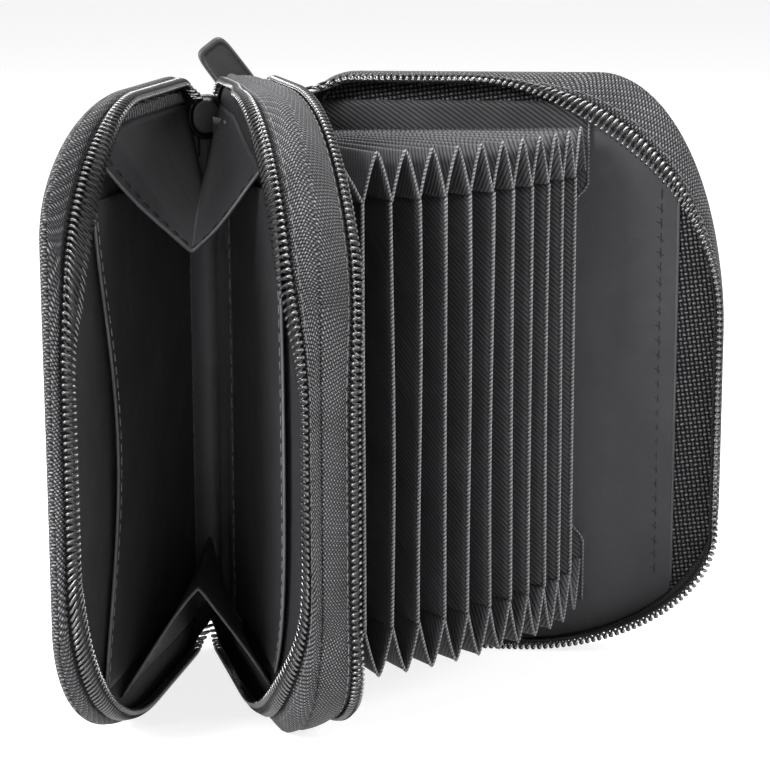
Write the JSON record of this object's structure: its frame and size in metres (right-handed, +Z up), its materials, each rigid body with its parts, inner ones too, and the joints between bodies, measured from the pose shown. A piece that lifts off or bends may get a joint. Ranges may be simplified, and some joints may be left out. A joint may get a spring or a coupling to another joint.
{
  "type": "accordion card wallet",
  "caption": "Zip-round pocket wallet standing open, with a coin compartment and a fan of card pockets joined along a soft spine.",
  "frame": {"origin": "middle of the partition's flat lower edge, on the floor", "axes": "+Z up along the spine, +Y from the open front back to the spine, +X from the partition to the card cover"},
  "size_m": [0.1381, 0.0852, 0.1218],
  "materials": {
    "outer_oxford": "woven, matt",
    "zip_tape": "woven tape, matt",
    "lining_satin": "smooth satin",
    "divider_twill": "twill",
    "stiffener_board": "pressed board, matt",
    "zip_coil": "moulded, glossy",
    "slider_metal": "black paint, satin",
    "pull_rubber": "moulded, matt"
  },
  "bodies": {
    "partition": {"partition_board": "stiffener_board", "partition_coin_lining": "lining_satin", "partition_card_lining": "divider_twill", "partition_slip_pocket": "lining_satin", "partition_seam_tape": "zip_tape", "partition_coin_side": "zip_tape", "partition_card_side": "zip_tape", "coin_zip_inner_half": "zip_coil", "card_zip_inner_half": "zip_coil", "spine_panel": "outer_oxford", "coin_spine_lining": "lining_satin", "card_spine_lining": "divider_twill", "card_bellows_top": "divider_twill", "card_bellows_bottom": "divider_twill", "coin_gusset_top": "lining_satin", "coin_gusset_bottom": "lining_satin", "coin_zip_stop": "slider_metal", "card_zip_stop": "slider_metal"},
    "coin_cover": {"coin_cover_skin": "outer_oxford", "coin_cover_board": "stiffener_board", "coin_cover_lining": "lining_satin", "coin_cover_slip_pocket": "lining_satin", "coin_cover_side": "zip_tape", "coin_zip_outer_half": "zip_coil"},
    "card_cover": {"card_cover_skin": "outer_oxford", "card_cover_board": "stiffener_board", "card_cover_lining": "lining_satin", "card_cover_side": "zip_tape", "card_zip_outer_half": "zip_coil", "card_pack_end_panel": "divider_twill"},
    "divider_01": {"card_divider_01": "divider_twill"},
    "divider_02": {"card_divider_02": "divider_twill"},
    "divider_03": {"card_divider_03": "divider_twill"},
    "divider_04": {"card_divider_04": "divider_twill"},
    "divider_05": {"card_divider_05": "divider_twill"},
    "divider_06": {"card_divider_06": "divider_twill"},
    "divider_07": {"card_divider_07": "divider_twill"},
    "divider_08": {"card_divider_08": "divider_twill"},
    "divider_09": {"card_divider_09": "divider_twill"},
    "divider_10": {"card_divider_10": "divider_twill"},
    "divider_11": {"card_divider_11": "divider_twill"},
    "coin_slider": {"coin_slider": "slider_metal"},
    "coin_pull": {"coin_pull_link": "slider_metal", "coin_pull_tab": "pull_rubber"},
    "card_slider": {"card_slider": "slider_metal"},
    "card_pull": {"card_pull_link": "slider_metal", "card_pull_tab": "pull_rubber"}
  },
  "joints": [
    {"name": "coin_cover_hinge", "type": "hinge", "parent": "partition", "child": "coin_cover", "pos_m": [-0.0099, 0.03, 0], "axis": [0, 0, 1], "range_deg": [-12, 25], "deforming": ["coin_gusset_top", "coin_gusset_bottom"]},
    {"name": "card_cover_hinge", "type": "hinge", "parent": "partition", "child": "card_cover", "pos_m": [0.0166, 0.03, 0], "axis": [0, 0, 1], "range_deg": [-69.7, 14], "deforming": ["card_bellows_top", "card_bellows_bottom"]},
    {"name": "divider_01_fold", "type": "hinge", "parent": "partition", "child": "divider_01", "pos_m": [0.00184, 0.02798, 0], "axis": [0, 0, 1], "range_deg": [-12.05, 2.46]},
    {"name": "divider_02_fold", "type": "hinge", "parent": "partition", "child": "divider_02", "pos_m": [0.00293, 0.02798, 0], "axis": [0, 0, 1], "range_deg": [-16.63, 3.38]},
    {"name": "divider_03_fold", "type": "hinge", "parent": "partition", "child": "divider_03", "pos_m": [0.00402, 0.02798, 0], "axis": [0, 0, 1], "range_deg": [-21.21, 4.3]},
    {"name": "divider_04_fold", "type": "hinge", "parent": "partition", "child": "divider_04", "pos_m": [0.00511, 0.02798, 0], "axis": [0, 0, 1], "range_deg": [-25.79, 5.22]},
    {"name": "divider_05_fold", "type": "hinge", "parent": "partition", "child": "divider_05", "pos_m": [0.00619, 0.02798, 0], "axis": [0, 0, 1], "range_deg": [-30.37, 6.14]},
    {"name": "divider_06_fold", "type": "hinge", "parent": "partition", "child": "divider_06", "pos_m": [0.00728, 0.02798, 0], "axis": [0, 0, 1], "range_deg": [-34.95, 7.06]},
    {"name": "divider_07_fold", "type": "hinge", "parent": "partition", "child": "divider_07", "pos_m": [0.00837, 0.02798, 0], "axis": [0, 0, 1], "range_deg": [-39.53, 7.98]},
    {"name": "divider_08_fold", "type": "hinge", "parent": "partition", "child": "divider_08", "pos_m": [0.00945, 0.02798, 0], "axis": [0, 0, 1], "range_deg": [-44.11, 8.9]},
    {"name": "divider_09_fold", "type": "hinge", "parent": "partition", "child": "divider_09", "pos_m": [0.01054, 0.02798, 0], "axis": [0, 0, 1], "range_deg": [-48.69, 9.82]},
    {"name": "divider_10_fold", "type": "hinge", "parent": "partition", "child": "divider_10", "pos_m": [0.01163, 0.02798, 0], "axis": [0, 0, 1], "range_deg": [-53.27, 10.74]},
    {"name": "divider_11_fold", "type": "hinge", "parent": "partition", "child": "divider_11", "pos_m": [0.01272, 0.02798, 0], "axis": [0, 0, 1], "range_deg": [-57.85, 11.66]},
    {"name": "coin_slider_run", "type": "hinge", "parent": "partition", "child": "coin_slider", "pos_m": [-0.00495, 0.02, 0.105], "axis": [1, 0, 0], "range_deg": [0, 62]},
    {"name": "card_slider_run", "type": "hinge", "parent": "partition", "child": "card_slider", "pos_m": [0.00895, 0.02, 0.105], "axis": [1, 0, 0], "range_deg": [0, 62]},
    {"name": "coin_pull_swing", "type": "hinge", "parent": "coin_slider", "child": "coin_pull", "pos_m": [-0.00495, 0.03185, 0.105], "axis": [1, 0, 0], "range_deg": [0, 160]},
    {"name": "card_pull_swing", "type": "hinge", "parent": "card_slider", "child": "card_pull", "pos_m": [0.00895, 0.03185, 0.105], "axis": [0.7986, 0, 0.6018], "range_deg": [-165, 0]}
  ],
  "couplings": [
    {"joint": "divider_01_fold", "follows": "card_cover_hinge", "ratio": 0.17217},
    {"joint": "divider_02_fold", "follows": "card_cover_hinge", "ratio": 0.23788},
    {"joint": "divider_03_fold", "follows": "card_cover_hinge", "ratio": 0.30359},
    {"joint": "divider_04_fold", "follows": "card_cover_hinge", "ratio": 0.3693},
    {"joint": "divider_05_fold", "follows": "card_cover_hinge", "ratio": 0.43501},
    {"joint": "divider_06_fold", "follows": "card_cover_hinge", "ratio": 0.50072},
    {"joint": "divider_07_fold", "follows": "card_cover_hinge", "ratio": 0.56643},
    {"joint": "divider_08_fold", "follows": "card_cover_hinge", "ratio": 0.63214},
    {"joint": "divider_09_fold", "follows": "card_cover_hinge", "ratio": 0.69785},
    {"joint": "divider_10_fold", "follows": "card_cover_hinge", "ratio": 0.76356},
    {"joint": "divider_11_fold", "follows": "card_cover_hinge", "ratio": 0.82927}
  ]
}
